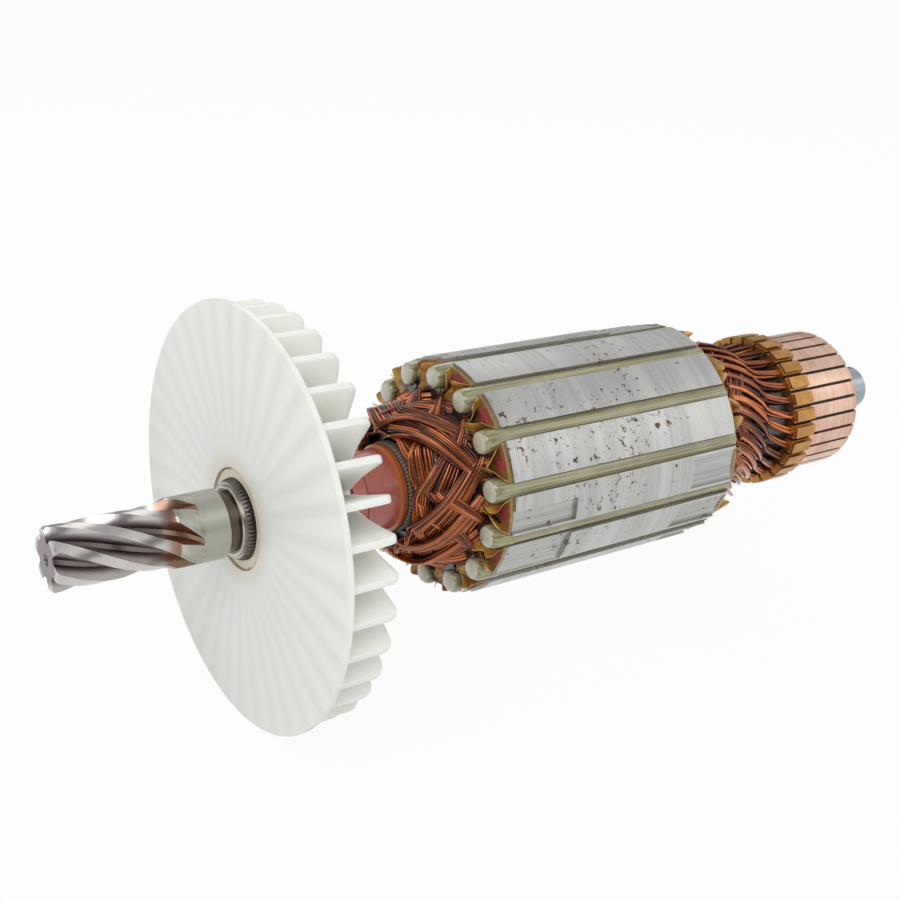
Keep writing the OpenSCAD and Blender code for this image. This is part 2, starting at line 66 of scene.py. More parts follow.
def place(x, r, turn):
    # a point at station x along the shaft, r from its axis, turned from +Y towards +Z
    a = math.radians(turn)
    return Vector((x, r * math.cos(a), r * math.sin(a))) * mm


def smoothStep(t):
    t = max(0.0, min(1.0, t))
    return t * t * (3 - 2 * t)


def along(points, t):
    # value at t of a line of straight stretches
    for (a, low), (b, high) in zip(points, points[1:]):
        if t <= b:
            return low + (high - low) * max(0.0, t - a) / (b - a)
    return points[-1][1]


def joinAll(pieces, name):
    bpy.ops.object.select_all(action="DESELECT")
    for piece in pieces:
        piece.select_set(True)
    bpy.context.view_layer.objects.active = pieces[0]
    bpy.ops.object.join()
    pieces[0].name = name
    return pieces[0]


def finishPiece(obj, material, replaced=()):
    obj.data.materials.clear()
    obj.data.materials.append(material)
    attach(obj, "root")
    if replaced:
        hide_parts(*replaced)
    return obj


def span(name):
    low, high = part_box(name)
    return low.x / mm, high.x / mm, high.y / mm


pinionEnd, shaftEnd, knurlRadius = span("rotor_shaft")
fanFront, fanBack, fanRadius = span("cooling_fan")
sleeveFront, sleeveBack, flangeRadius = span("front_sleeve")
stackFront, stackBack, stackRadius = span("core_laminations")
sheetFront = span("end_sheet_front")[0]
sheetBack = span("end_sheet_rear")[1]
commFront, commBack, riserRadius = span("commutator_bar_1")
slotCount = 14
barCount = 28
slotPitch = 360 / slotCount
barPitch = 360 / barCount
print("frame read, core from", round(stackFront, 1), "to", round(stackBack, 1))


camera = dict(eye=(-0.10643, -0.23755, 0.11953), aim=(0.07494, 0.01457, 0.00883), roll=3.05,
              lens=53.9, shiftX=-0.0012, shiftY=-0.0419)


def addCamera():
    eye = Vector(camera["eye"])
    look = Vector(camera["aim"]) - eye
    bpy.ops.object.camera_add(location=eye)
    cam = bpy.context.object
    level = look.to_track_quat("-Z", "Y").to_matrix()
    cam.rotation_euler = (level @ Matrix.Rotation(math.radians(camera["roll"]), 3, "Z")).to_euler()
    cam.data.sensor_width = 36
    cam.data.lens = camera["lens"]
    cam.data.shift_x = camera["shiftX"]
    cam.data.shift_y = camera["shiftY"]
    cam.data.clip_start = 0.01
    bpy.context.scene.camera = cam


# power in watts, size in metres
studio = dict(key=3.4, fill=1.3, rim=1.0, size=0.8, world=0.6)


def addSoftbox(name, location, power):
    middle = (cadBox[0] + cadBox[1]) / 2
    bpy.ops.object.light_add(type="AREA", location=location)
    lamp = bpy.context.object
    lamp.name = name
    lamp.data.shape = "RECTANGLE"
    lamp.data.size = studio["size"]
    lamp.data.size_y = studio["size"] * 0.7
    lamp.data.energy = power
    lamp.rotation_euler = (middle - Vector(location)).to_track_quat("-Z", "Y").to_euler()


def addWorld():
    # an even white room; polished metal sees a dark band in it above the horizon
    world = bpy.data.worlds.new("studioWorld")
    bpy.context.scene.world = world
    world.use_nodes = True
    tree = world.node_tree
    tree.nodes.clear()
    out = tree.nodes.new("ShaderNodeOutputWorld")
    plain = tree.nodes.new("ShaderNodeBackground")
    plain.inputs["Color"].default_value = (1, 1, 1, 1)
    plain.inputs["Strength"].default_value = studio["world"]
    white = tree.nodes.new("ShaderNodeBackground")
    white.inputs["Color"].default_value = (1, 1, 1, 1)
    room = tree.nodes.new("ShaderNodeBackground")
    where = tree.nodes.new("ShaderNodeTexCoord")
    split = tree.nodes.new("ShaderNodeSeparateXYZ")
    lift = tree.nodes.new("ShaderNodeMath")
    lift.operation = "MULTIPLY_ADD"
    lift.inputs[1].default_value = 0.5
    lift.inputs[2].default_value = 0.5
    ramp = tree.nodes.new("ShaderNodeValToRGB")
    stops = ramp.color_ramp.elements
    stops[0].color = (0.7, 0.7, 0.67, 1)
    stops[1].color = (0.5, 0.5, 0.52, 1)
    for height, grey in ((0.44, 0.78), (0.53, 0.3), (0.63, 0.2), (0.74, 0.95), (0.86, 0.85)):
        stops.new(height).color = (grey, grey, grey, 1)
    ray = tree.nodes.new("ShaderNodeLightPath")
    glossy = tree.nodes.new("ShaderNodeMixShader")
    seen = tree.nodes.new("ShaderNodeMixShader")
    tree.links.new(where.outputs["Generated"], split.inputs[0])
    tree.links.new(split.outputs["Z"], lift.inputs[0])
    tree.links.new(lift.outputs[0], ramp.inputs[0])
    tree.links.new(ramp.outputs["Color"], room.inputs["Color"])
    tree.links.new(ray.outputs["Is Glossy Ray"], glossy.inputs[0])
    tree.links.new(plain.outputs[0], glossy.inputs[1])
    tree.links.new(room.outputs[0], glossy.inputs[2])
    tree.links.new(ray.outputs["Is Camera Ray"], seen.inputs[0])
    tree.links.new(glossy.outputs[0], seen.inputs[1])
    tree.links.new(white.outputs[0], seen.inputs[2])
    tree.links.new(seen.outputs[0], out.inputs[0])


def addFloor():
    bpy.ops.mesh.primitive_plane_add(size=14, location=(0, 0, cadBox[0].z))
    floor = bpy.context.object
    floor.name = "floor"
    bpy.ops.object.transform_apply(location=True, rotation=True, scale=True)
    mat = bpy.data.materials.new("paleFloor")
    mat.use_nodes = True
    tree = mat.node_tree
    tree.nodes.clear()
    out = tree.nodes.new("ShaderNodeOutputMaterial")
    paint = tree.nodes.new("ShaderNodeBsdfDiffuse")
    paint.inputs["Color"].default_value = (0.8, 0.8, 0.8, 1)
    glow = tree.nodes.new("ShaderNodeEmission")
    ray = tree.nodes.new("ShaderNodeLightPath")
    either = tree.nodes.new("ShaderNodeMath")
    either.operation = "MAXIMUM"
    share = tree.nodes.new("ShaderNodeMath")
    share.operation = "MULTIPLY"
    share.inputs[1].default_value = 0.95
    mix = tree.nodes.new("ShaderNodeMixShader")
    tree.links.new(ray.outputs["Is Camera Ray"], either.inputs[0])
    tree.links.new(ray.outputs["Is Glossy Ray"], either.inputs[1])
    tree.links.new(either.outputs[0], share.inputs[0])
    tree.links.new(share.outputs[0], mix.inputs[0])
    tree.links.new(paint.outputs[0], mix.inputs[1])
    tree.links.new(glow.outputs[0], mix.inputs[2])
    tree.links.new(mix.outputs[0], out.inputs[0])
    floor.data.materials.append(mat)


addCamera()
addSoftbox("keyLight", (-0.5, -0.5, 0.7), studio["key"])
addSoftbox("fillLight", (0.75, -0.6, 0.25), studio["fill"])
addSoftbox("rimLight", (0.2, 0.6, 0.6), studio["rim"])
addWorld()
addFloor()
print("camera and studio ready")


def mathNode(tree, operation, a, b=None, c=None):
    made = tree.nodes.new("ShaderNodeMath")
    made.operation = operation
    for socket, value in zip(made.inputs, (a, b, c)):
        if isinstance(value, (int, float)):
            socket.default_value = value
        elif value is not None:
            tree.links.new(value, socket)
    return made.outputs[0]


def newGroup(name, ins, outs):
    group = bpy.data.node_groups.new(name, "ShaderNodeTree")
    for label, kind, value in ins:
        socket = group.interface.new_socket(name=label, in_out="INPUT", socket_type=kind)
        if value is not None:
            socket.default_value = value
    for label in outs:
        group.interface.new_socket(name=label, in_out="OUTPUT", socket_type="NodeSocketFloat")
    return group, group.nodes.new("NodeGroupInput"), group.nodes.new("NodeGroupOutput")


def buildShaftPlaces():
    # Station and Distance in mm, Turn in degrees, ToothOffset in mm from the nearest tooth's middle
    group, start, end = newGroup("shaftPlaces", [("Vector", "NodeSocketVector", None)],
                                 ["Station", "Distance", "Turn", "ToothOffset"])
    split = group.nodes.new("ShaderNodeSeparateXYZ")
    group.links.new(start.outputs[0], split.inputs[0])
    square = mathNode(group, "ADD", mathNode(group, "POWER", mathNode(group, "ABSOLUTE", split.outputs["Y"]), 2.0),
                      mathNode(group, "POWER", mathNode(group, "ABSOLUTE", split.outputs["Z"]), 2.0))
    distance = mathNode(group, "MULTIPLY", mathNode(group, "SQRT", square), 1000.0)
    turn = mathNode(group, "DEGREES", mathNode(group, "ARCTAN2", split.outputs["Z"], split.outputs["Y"]))
    wrapped = mathNode(group, "WRAP", turn, slotPitch / 2, -slotPitch / 2)
    offset = mathNode(group, "MULTIPLY", mathNode(group, "RADIANS", mathNode(group, "ABSOLUTE", wrapped)), distance)
    group.links.new(mathNode(group, "MULTIPLY", split.outputs["X"], 1000.0), end.inputs["Station"])
    group.links.new(distance, end.inputs["Distance"])
    group.links.new(turn, end.inputs["Turn"])
    group.links.new(offset, end.inputs["ToothOffset"])
    return group


def buildSpeckles():
    # irregular small spots
    group, start, end = newGroup("speckles", [("Vector", "NodeSocketVector", None), ("Scale", "NodeSocketFloat", 900.0),
                                              ("Amount", "NodeSocketFloat", 0.5)], ["Mask"])
    fine = group.nodes.new("ShaderNodeTexNoise")
    fine.inputs["Detail"].default_value = 4
    fine.inputs["Roughness"].default_value = 0.65
    group.links.new(start.outputs["Vector"], fine.inputs["Vector"])
    group.links.new(start.outputs["Scale"], fine.inputs["Scale"])
    limit = mathNode(group, "SUBTRACT", 0.86, mathNode(group, "MULTIPLY", start.outputs["Amount"], 0.3))
    over = mathNode(group, "MULTIPLY", mathNode(group, "SUBTRACT", fine.outputs["Fac"], limit), 16.0)
    group.links.new(mathNode(group, "MINIMUM", mathNode(group, "MAXIMUM", over, 0.0), 1.0), end.inputs["Mask"])
    return group


def buildStreaks():
    # noise drawn out along or across the shaft, for turned, rolled and stranded surfaces
    group, start, end = newGroup("streaks", [("Vector", "NodeSocketVector", None),
                                             ("Stretch", "NodeSocketVector", (1.0, 1.0, 1.0))], ["Value"])
    product = group.nodes.new("ShaderNodeVectorMath")
    product.operation = "MULTIPLY"
    fine = group.nodes.new("ShaderNodeTexNoise")
    fine.inputs["Scale"].default_value = 1.0
    fine.inputs["Detail"].default_value = 4
    fine.inputs["Roughness"].default_value = 0.55
    group.links.new(start.outputs["Vector"], product.inputs[0])
    group.links.new(start.outputs["Stretch"], product.inputs[1])
    group.links.new(product.outputs[0], fine.inputs["Vector"])
    group.links.new(fine.outputs["Fac"], end.inputs["Value"])
    return group


shaftPlaces = buildShaftPlaces()
speckles = buildSpeckles()
streaks = buildStreaks()


class finishMix:
    # one material: its Principled shader, and short calls for the nodes that feed it
    def __init__(self, name, colour=None, **values):
        self.mat = bpy.data.materials.new(name)
        self.mat.use_nodes = True
        self.tree = self.mat.node_tree
        self.shader = self.tree.nodes["Principled BSDF"]
        self.coords = self.tree.nodes.new("ShaderNodeTexCoord").outputs["Object"]
        for key, value in values.items():
            self.shader.inputs[key.replace("_", " ")].default_value = value

    def group(self, group, **values):
        made = self.tree.nodes.new("ShaderNodeGroup")
        made.node_tree = group
        for key, value in values.items():
            made.inputs[key].default_value = value
        self.tree.links.new(self.coords, made.inputs["Vector"])
        return made.outputs

    def noise(self, scale, detail=3.0, rough=0.5):
        made = self.tree.nodes.new("ShaderNodeTexNoise")
        made.inputs["Scale"].default_value = scale
        made.inputs["Detail"].default_value = detail
        made.inputs["Roughness"].default_value = rough
        self.tree.links.new(self.coords, made.inputs["Vector"])
        return made.outputs["Fac"]

    def math(self, operation, a, b=None, c=None):
        return mathNode(self.tree, operation, a, b, c)

    def fade(self, value, low, high):
        made = self.tree.nodes.new("ShaderNodeMapRange")
        made.interpolation_type = "SMOOTHSTEP"
        self.tree.links.new(value, made.inputs["Value"])
        made.inputs["From Min"].default_value = low
        made.inputs["From Max"].default_value = high
        return made.outputs["Result"]

    def blend(self, factor, a, b):
        made = self.tree.nodes.new("ShaderNodeMix")
        made.data_type = "RGBA"
        for socket, value in ((made.inputs[0], factor), (made.inputs[6], a), (made.inputs[7], b)):
            if isinstance(value, tuple):
                socket.default_value = (*value, 1)
            elif isinstance(value, float):
                socket.default_value = value
            else:
                self.tree.links.new(value, socket)
        return made.outputs[2]

    def feed(self, socket, value):
        self.tree.links.new(value, self.shader.inputs[socket])

    def bump(self, height, strength, distance):
        made = self.tree.nodes.new("ShaderNodeBump")
        made.inputs["Strength"].default_value = strength
        made.inputs["Distance"].default_value = distance
        self.tree.links.new(height, made.inputs["Height"])
        self.tree.links.new(made.outputs["Normal"], self.shader.inputs["Normal"])


def mixSteel():
    # ground steel: painted shade darkens the gashes between the teeth; copper-brown where the hob ran out, rough and
    # dark on the knurl
    p = finishMix("shaftSteel", Metallic=1.0)
    where = p.group(shaftPlaces)
    station, distance = where["Station"], where["Distance"]
    ground = p.blend(p.noise(140, 4), (0.42, 0.42, 0.37), (0.55, 0.54, 0.48))
    toothSide = p.blend(p.noise(260, 3), (0.46, 0.43, 0.43), (0.68, 0.66, 0.63))
    # painted shade: the tooth gashes are made darker in the colour
    teethShadedGashes = p.blend(p.fade(distance, 5.9, 4.3), toothSide, (0.19, 0.15, 0.15))
    colour = p.blend(p.fade(station, -7.4, -8.6), ground, teethShadedGashes)
    runOut = p.math("MULTIPLY", p.fade(station, -9.5, -6.5), p.fade(distance, 7.42, 7.25))
    runOut = p.math("MULTIPLY", runOut, p.fade(station, 0.5, 0.0))
    colour = p.blend(runOut, colour, (0.30, 0.18, 0.13))
    neck = p.math("MULTIPLY", p.fade(station, 5.4, 5.6), p.fade(distance, 7.2, 7.0))
    colour = p.blend(neck, colour, (0.15, 0.12, 0.10))
    knurl = p.math("MULTIPLY", p.fade(station, 8.25, 8.4), p.fade(station, 60.0, 50.0))
    colour = p.blend(knurl, colour, p.blend(p.noise(900, 4), (0.09, 0.08, 0.07), (0.26, 0.23, 0.21)))
    colour = p.blend(p.fade(station, commBack - 1, commBack + 1), colour, (0.33, 0.37, 0.40))
    p.feed("Base Color", colour)
    lines = p.group(streaks, Stretch=(3000.0, 60.0, 60.0))["Value"]
    p.feed("Roughness", p.math("ADD", p.math("MULTIPLY_ADD", lines, 0.16, 0.16), p.math("MULTIPLY", knurl, 0.2)))
    p.bump(lines, 0.1, 0.0001)
    return p.mat


ejectorMarks = dict(turns=(31, 151, 271), radius=24, size=1.5)


def mixNylon():
    # natural nylon: light comes through it; the blades behind the disc show as faint rays, painted into the disc's
    # colour as shade
    p = finishMix("fanNylon", Roughness=0.36, Subsurface_Weight=0.3, Subsurface_Scale=0.003, Coat_Weight=0.2,
                  Coat_Roughness=0.3)
    p.shader.inputs["Subsurface Radius"].default_value = (1.0, 0.95, 0.75)
    where = p.group(shaftPlaces)
    bent = p.math("ADD", where["Turn"], p.math("MULTIPLY", p.noise(60, 2), 6.0))
    # painted shade of the blades behind the disc: a darker ray at each blade's turn
    bladeShadeRays = p.math("COSINE", p.math("RADIANS", p.math("MULTIPLY", p.math("SUBTRACT", bent, 9.3), 36.0)))
    bladeShadeRays = p.fade(bladeShadeRays, -0.7, 0.8)
    onDisc = p.math("MULTIPLY", p.fade(where["Distance"], 13.0, 22.0), p.fade(where["Station"], fanFront + 1, fanFront + 0.5))
    colour = p.blend(p.math("MULTIPLY", p.math("MULTIPLY", bladeShadeRays, onDisc), 0.5), (0.93, 0.94, 0.875), (0.84, 0.86, 0.785))
    colour = p.blend(p.math("MULTIPLY", p.noise(90, 3), 0.3), colour, (0.92, 0.93, 0.89))
    colour = p.blend(p.math("MULTIPLY", p.fade(where["Distance"], 17.0, 11.0), 0.55), colour, (0.72, 0.68, 0.50))
    for turn in ejectorMarks["turns"]:
        apart = p.tree.nodes.new("ShaderNodeVectorMath")
        apart.operation = "DISTANCE"
        p.tree.links.new(p.coords, apart.inputs[0])
        apart.inputs[1].default_value = place(fanFront, ejectorMarks["radius"], turn)
        size = ejectorMarks["size"] * mm
        colour = p.blend(p.math("MULTIPLY", p.fade(apart.outputs["Value"], size, size * 0.93), 0.6), colour, (0.92, 0.93, 0.9))
    p.feed("Base Color", colour)
    p.bump(p.noise(300, 3), 0.06, 0.0004)
    return p.mat


def mixCream():
    p = finishMix("bushCream", Roughness=0.38, Coat_Weight=0.3)
    edge = p.math("ADD", p.group(shaftPlaces)["Distance"], p.math("MULTIPLY", p.noise(400), 0.9))
    p.feed("Base Color", p.blend(p.fade(edge, 10.9, 11.5), (0.74, 0.66, 0.48), (0.36, 0.22, 0.12)))
    return p.mat


def mixTerracotta():
    # filled resin, with the flange rim glossy and more orange
    p = finishMix("sleeveResin", Roughness=0.36, Coat_Weight=0.6, Coat_Roughness=0.12)
    cloud = p.noise(260, 4)
    flange = p.math("ADD", p.group(shaftPlaces)["Station"], p.math("MULTIPLY", p.noise(300), 2.0))
    body = p.blend(cloud, (0.34, 0.075, 0.05), (0.47, 0.12, 0.085))
    p.feed("Base Color", p.blend(p.fade(flange, 45.4, 46.2), body, (0.47, 0.12, 0.035)))
    p.bump(cloud, 0.15, 0.0003)
    return p.mat


def mixCord():
    p = finishMix("bindingCordFibre", Roughness=0.5, Coat_Weight=0.35)
    where = p.group(shaftPlaces)
    ribHeightAndShade = p.math("SINE", p.math("ADD", p.math("MULTIPLY", where["Turn"], 1.3), p.math("MULTIPLY", where["Station"], 2.0)))
    ribHeightAndShade = p.math("MULTIPLY_ADD", ribHeightAndShade, 0.5, 0.5)
    # painted shade: the grooves between the ribs are darker in the colour, the rib tops lighter
    p.feed("Base Color", p.blend(ribHeightAndShade, (0.08, 0.06, 0.05), (0.28, 0.22, 0.18)))
    p.bump(ribHeightAndShade, 0.5, 0.0003)
    return p.mat


def mixCoreSteel():
    # the edges of thin sheets, turned to size; milled places smooth and bright; rust in patches
    p = finishMix("coreSteel", Metallic=0.9)
    where = p.group(shaftPlaces)
    sheets = p.math("SINE", p.math("MULTIPLY", where["Station"], 2 * math.pi / 0.5))
    sheets = p.math("MULTIPLY_ADD", sheets, 0.5, 0.5)
    uneven = p.group(streaks, Stretch=(900.0, 25.0, 25.0))["Value"]
    broad = p.group(streaks, Stretch=(170.0, 20.0, 20.0))["Value"]
    lines = p.math("ADD", p.math("MULTIPLY", sheets, 0.45), p.math("MULTIPLY", uneven, 0.75))
    colour = p.blend(p.fade(lines, 0.3, 0.9), (0.37, 0.37, 0.36), (0.58, 0.58, 0.56))
    colour = p.blend(p.math("MULTIPLY", p.fade(broad, 0.45, 0.65), 0.3), colour, (0.72, 0.72, 0.70))
    milled = p.fade(where["Distance"], stackRadius - 0.1, stackRadius - 0.3)
    mill = p.group(streaks, Stretch=(40.0, 1600.0, 1600.0))["Value"]
    colour = p.blend(milled, colour, p.blend(p.fade(mill, 0.3, 0.7), (0.38, 0.38, 0.37), (0.50, 0.50, 0.48)))
    patch = p.fade(p.noise(30, 2), 0.5, 0.6)
    rust = p.math("MULTIPLY", p.group(speckles, Scale=560.0, Amount=0.93)["Mask"], patch)
    rust = p.math("MAXIMUM", rust, p.group(speckles, Scale=430.0, Amount=0.66)["Mask"])
    p.feed("Base Color", p.blend(rust, colour, (0.10, 0.045, 0.02)))
    p.feed("Metallic", p.math("MULTIPLY_ADD", rust, -0.8, 0.9))
    p.feed("Roughness", p.math("MULTIPLY_ADD", rust, 0.35, p.math("MULTIPLY_ADD", uneven, 0.2, 0.3)))
    p.bump(p.math("MULTIPLY", lines, p.math("SUBTRACT", 1.0, milled)), 0.25, 0.0001)
    return p.mat


def mixFibre():
    # red fibre sheet, seen only in the middle of each tooth; amber varnish covers the rest
    p = finishMix("fibreSheet", Roughness=0.4, Coat_Weight=0.8, Coat_Roughness=0.08)
    where = p.group(shaftPlaces)
    cloud = p.noise(600, 4)
    red = p.blend(cloud, (0.25, 0.02, 0.03), (0.62, 0.14, 0.17))
    gum = p.blend(cloud, (0.09, 0.045, 0.012), (0.46, 0.26, 0.06))
    ragged = p.math("MULTIPLY", p.math("SUBTRACT", p.noise(420, 3), 0.5), 2.4)
    sideways = p.math("ADD", where["ToothOffset"], ragged)
    up = p.math("ABSOLUTE", p.math("SUBTRACT", p.math("ADD", where["Distance"], ragged), 25.2))
    blot = p.math("MULTIPLY", p.fade(sideways, 2.0, 1.3), p.fade(up, 2.0, 1.3))
    colour = p.blend(blot, gum, red)
    chips = p.group(speckles, Scale=480.0, Amount=0.62)["Mask"]
    p.feed("Base Color", p.blend(chips, colour, (0.72, 0.63, 0.45)))
    p.bump(cloud, 0.6, 0.0008)
    return p.mat


def mixAmber():
    # varnished liner film
    p = finishMix("linerAmber", Roughness=0.18, Coat_Weight=1.0, Coat_Roughness=0.05, Subsurface_Weight=0.2,
                  Subsurface_Scale=0.002)
    cloud = p.noise(330, 4)
    colour = p.blend(p.fade(cloud, 0.35, 0.65), (0.24, 0.09, 0.015), (0.62, 0.37, 0.08))
    chips = p.group(speckles, Scale=380.0, Amount=0.55)["Mask"]
    p.feed("Base Color", p.blend(chips, colour, (0.76, 0.66, 0.42)))
    p.bump(cloud, 0.4, 0.0006)
    return p.mat


def mixWire(name, dark, light):
    # enamelled copper under baked varnish; wireShade is each wire's own shade
    p = finishMix(name, Metallic=0.8, Roughness=0.27, Coat_Weight=0.45, Coat_Roughness=0.1)
    shade = p.tree.nodes.new("ShaderNodeAttribute")
    shade.attribute_name = "wireShade"
    mixed = p.math("ADD", p.math("MULTIPLY", shade.outputs["Fac"], 0.6), p.math("MULTIPLY", p.noise(170, 4), 0.5))
    p.feed("Base Color", p.blend(p.fade(mixed, 0.2, 0.95), dark, light))
    p.bump(p.noise(900, 3), 0.06, 0.0002)
    return p.mat


def mixVarnishAndShade():
    # near-black, partly baked varnish and partly painted shade: it shows as the shade in the gaps between wires and in
    # the slot mouths
    p = finishMix("blackVarnishAndShade", Roughness=0.14, Coat_Weight=0.8, Coat_Roughness=0.05)
    cloud = p.noise(300, 4)
    p.feed("Base Color", p.blend(cloud, (0.010, 0.008, 0.008), (0.05, 0.035, 0.028)))
    p.bump(cloud, 0.5, 0.001)
    return p.mat


def mixWedge():
    # olive resin with glass strands along it, paler at the head
    p = finishMix("wedgeResin", Roughness=0.24, Coat_Weight=1.0, Coat_Roughness=0.06)
    strands = p.group(streaks, Stretch=(30.0, 1900.0, 1900.0))["Value"]
    colour = p.blend(p.fade(strands, 0.35, 0.65), (0.17, 0.155, 0.06), (0.37, 0.345, 0.18))
    colour = p.blend(p.math("MULTIPLY", p.fade(p.noise(120, 3), 0.45, 0.7), 0.4), colour, (0.42, 0.40, 0.25))
    head = p.fade(p.group(shaftPlaces)["Station"], sheetFront - 3.2, sheetFront - 3.65)
    p.feed("Base Color", p.blend(p.math("MULTIPLY", head, 0.75), colour, (0.70, 0.69, 0.56)))
    p.bump(strands, 0.12, 0.0003)
    return p.mat


risers = dict(length=7.3)


def mixBarCopper():
    # turned copper; golden-brown on the risers where the leads are fused in
    p = finishMix("barCopper", Metallic=0.9)
    station = p.group(shaftPlaces)["Station"]
    turned = p.group(streaks, Stretch=(2600.0, 30.0, 30.0))["Value"]
    colour = p.blend(p.fade(turned, 0.3, 0.7), (0.55, 0.31, 0.22), (0.78, 0.55, 0.43))
    colour = p.blend(p.math("MULTIPLY", p.fade(p.noise(110, 4), 0.42, 0.7), 0.4), colour, (0.86, 0.66, 0.52))
    stain = p.blend(p.noise(420, 4), (0.28, 0.13, 0.04), (0.64, 0.36, 0.12))
    edge = commFront + risers["length"]
    p.feed("Base Color", p.blend(p.fade(station, edge + 0.3, edge - 0.3), colour, stain))
    p.feed("Roughness", p.math("MULTIPLY_ADD", turned, 0.2, 0.24))
    p.bump(turned, 0.12, 0.0001)
    return p.mat


def mixDark(name, low, high, roughness):
    p = finishMix(name, Roughness=roughness)
    cloud = p.noise(300, 4)
    p.feed("Base Color", p.blend(cloud, low, high))
    p.bump(cloud, 0.2, 0.0003)
    return p.mat


steel = mixSteel()
nylon = mixNylon()
terracotta = mixTerracotta()
amber = mixAmber()
varnishAndShade = mixVarnishAndShade()
fibre = mixFibre()
wireCopper = mixWire("windingWire", (0.045, 0.011, 0.007), (0.56, 0.16, 0.04))
leadCopper = mixWire("leadWire", (0.07, 0.015, 0.008), (0.66, 0.21, 0.06))
wedgeResin = mixWedge()
barCopper = mixBarCopper()
dressing = {
    "rotor_shaft": steel, "cooling_fan": nylon, "fan_bush": mixCream(), "front_sleeve": terracotta,
    "binding_cord": mixCord(), "core_tube": terracotta, "core_laminations": mixCoreSteel(),
    "end_sheet_front": fibre, "end_sheet_rear": fibre, "slot_liners": amber, "slot_coils": varnishAndShade,
    "commutator_moulding": mixDark("commutatorResin", (0.02, 0.016, 0.013), (0.07, 0.05, 0.04), 0.45),
    "commutator_mica": mixDark("barGap", (0.03, 0.015, 0.01), (0.09, 0.045, 0.025), 0.6),
}
for name, obj in nodes.items():
    chosen = dressing.get(name, varnishAndShade)
    if name.startswith("slot_wedge"):
        chosen = wedgeResin
    if name.startswith("commutator_bar"):
        chosen = barCopper
    for slot in obj.material_slots:
        slot.material = chosen
print("materials mixed")


def turnBody(name, outline, steps=96):
    # a closed outline of (x, r) points, spun round the shaft
    bpy.ops.object.select_all(action="DESELECT")
    bpy.ops.mesh.primitive_circle_add(vertices=len(outline), radius=1)
    obj = bpy.context.object
    obj.name = name
    for vertex, (x, r) in zip(obj.data.vertices, outline):
        vertex.co = place(x, r, 0)
    bpy.ops.object.mode_set(mode="EDIT")
    bpy.ops.mesh.select_all(action="SELECT")
    bpy.ops.mesh.spin(steps=steps, angle=2 * math.pi, center=(0, 0, 0), axis=(1, 0, 0))
    bpy.ops.mesh.select_all(action="SELECT")
    bpy.ops.mesh.remove_doubles(threshold=0.000001)
    bpy.ops.mesh.normals_make_consistent(inside=False)
    bpy.ops.object.mode_set(mode="OBJECT")
    bpy.ops.object.shade_smooth_by_angle(angle=math.radians(40))
    return obj


def smoothShaft():
    # the shaft's own surface, merged so that the tooth flanks shade as smooth helices
    mesh = nodes["rotor_shaft"].data.copy()
    obj = bpy.data.objects.new("shaftSurface", mesh)
    bpy.context.scene.collection.objects.link(obj)
    makeActive(obj)
    if mesh.has_custom_normals:
        bpy.ops.mesh.customdata_custom_splitnormals_clear()
    bpy.ops.object.mode_set(mode="EDIT")
    bpy.ops.mesh.select_all(action="SELECT")
    bpy.ops.mesh.remove_doubles(threshold=0.000002)
    bpy.ops.object.mode_set(mode="OBJECT")
    bpy.ops.object.shade_smooth_by_angle(angle=math.radians(32))
    finishPiece(obj, steel, ["rotor_shaft"])


smoothShaft()
print("shaft ready")


fan = dict(disc=1.5, hub=14.5, bore=11.2, blades=36, firstBlade=6.3, tip=45.7, thick=1.7, tipDepth=13.0, rootLow=0.6,
           fall=1.6, corner=3.0, soft=0.4)


def bladeDepth(r):
    low = fan["tipDepth"]
    high = fanBack - fanFront - fan["rootLow"]
    return low + (high - low) * ((fan["tip"] - r) / (fan["tip"] - fan["hub"])) ** fan["fall"]


def bladeOutline():
    # (r, depth) round one blade: along the disc, round the outer corner, and back up to the hub
    tip, corner = fan["tip"], fan["corner"]
    outline = [(fan["hub"] - 1.4, 0.7), (tip, 0.7)]
    for k in range(6):
        a = math.radians(18 * k)
        outline.append((tip - corner + corner * math.cos(a), fan["tipDepth"] - corner + corner * math.sin(a)))
    for k in range(1, 15):
        r = tip - corner - (tip - corner - fan["hub"]) * k / 14
        outline.append((r, bladeDepth(r)))
    outline.append((fan["hub"] - 1.4, bladeDepth(fan["hub"]) - 1.0))
    return outline


def makeBlade():
    outline = bladeOutline()
    bpy.ops.object.select_all(action="DESELECT")
    bpy.ops.mesh.primitive_circle_add(vertices=len(outline), radius=1, fill_type="NGON")
    blade = bpy.context.object
    for vertex, (r, depth) in zip(blade.data.vertices, outline):
        vertex.co = Vector((fanFront + depth, r, -fan["thick"] / 2)) * mm
    bpy.ops.object.mode_set(mode="EDIT")
    bpy.ops.mesh.select_all(action="SELECT")
    bpy.ops.mesh.extrude_region_move(TRANSFORM_OT_translate={"value": (0, 0, fan["thick"] * mm)})
    bpy.ops.mesh.select_all(action="SELECT")
    bpy.ops.mesh.normals_make_consistent(inside=False)
    bpy.ops.object.mode_set(mode="OBJECT")
    rounding = blade.modifiers.new("softEdges", "BEVEL")
    rounding.width = fan["soft"] * mm
    rounding.segments = 2
    rounding.limit_method = "ANGLE"
    rounding.angle_limit = math.radians(50)
    bpy.ops.object.modifier_apply(modifier=rounding.name)
    return blade


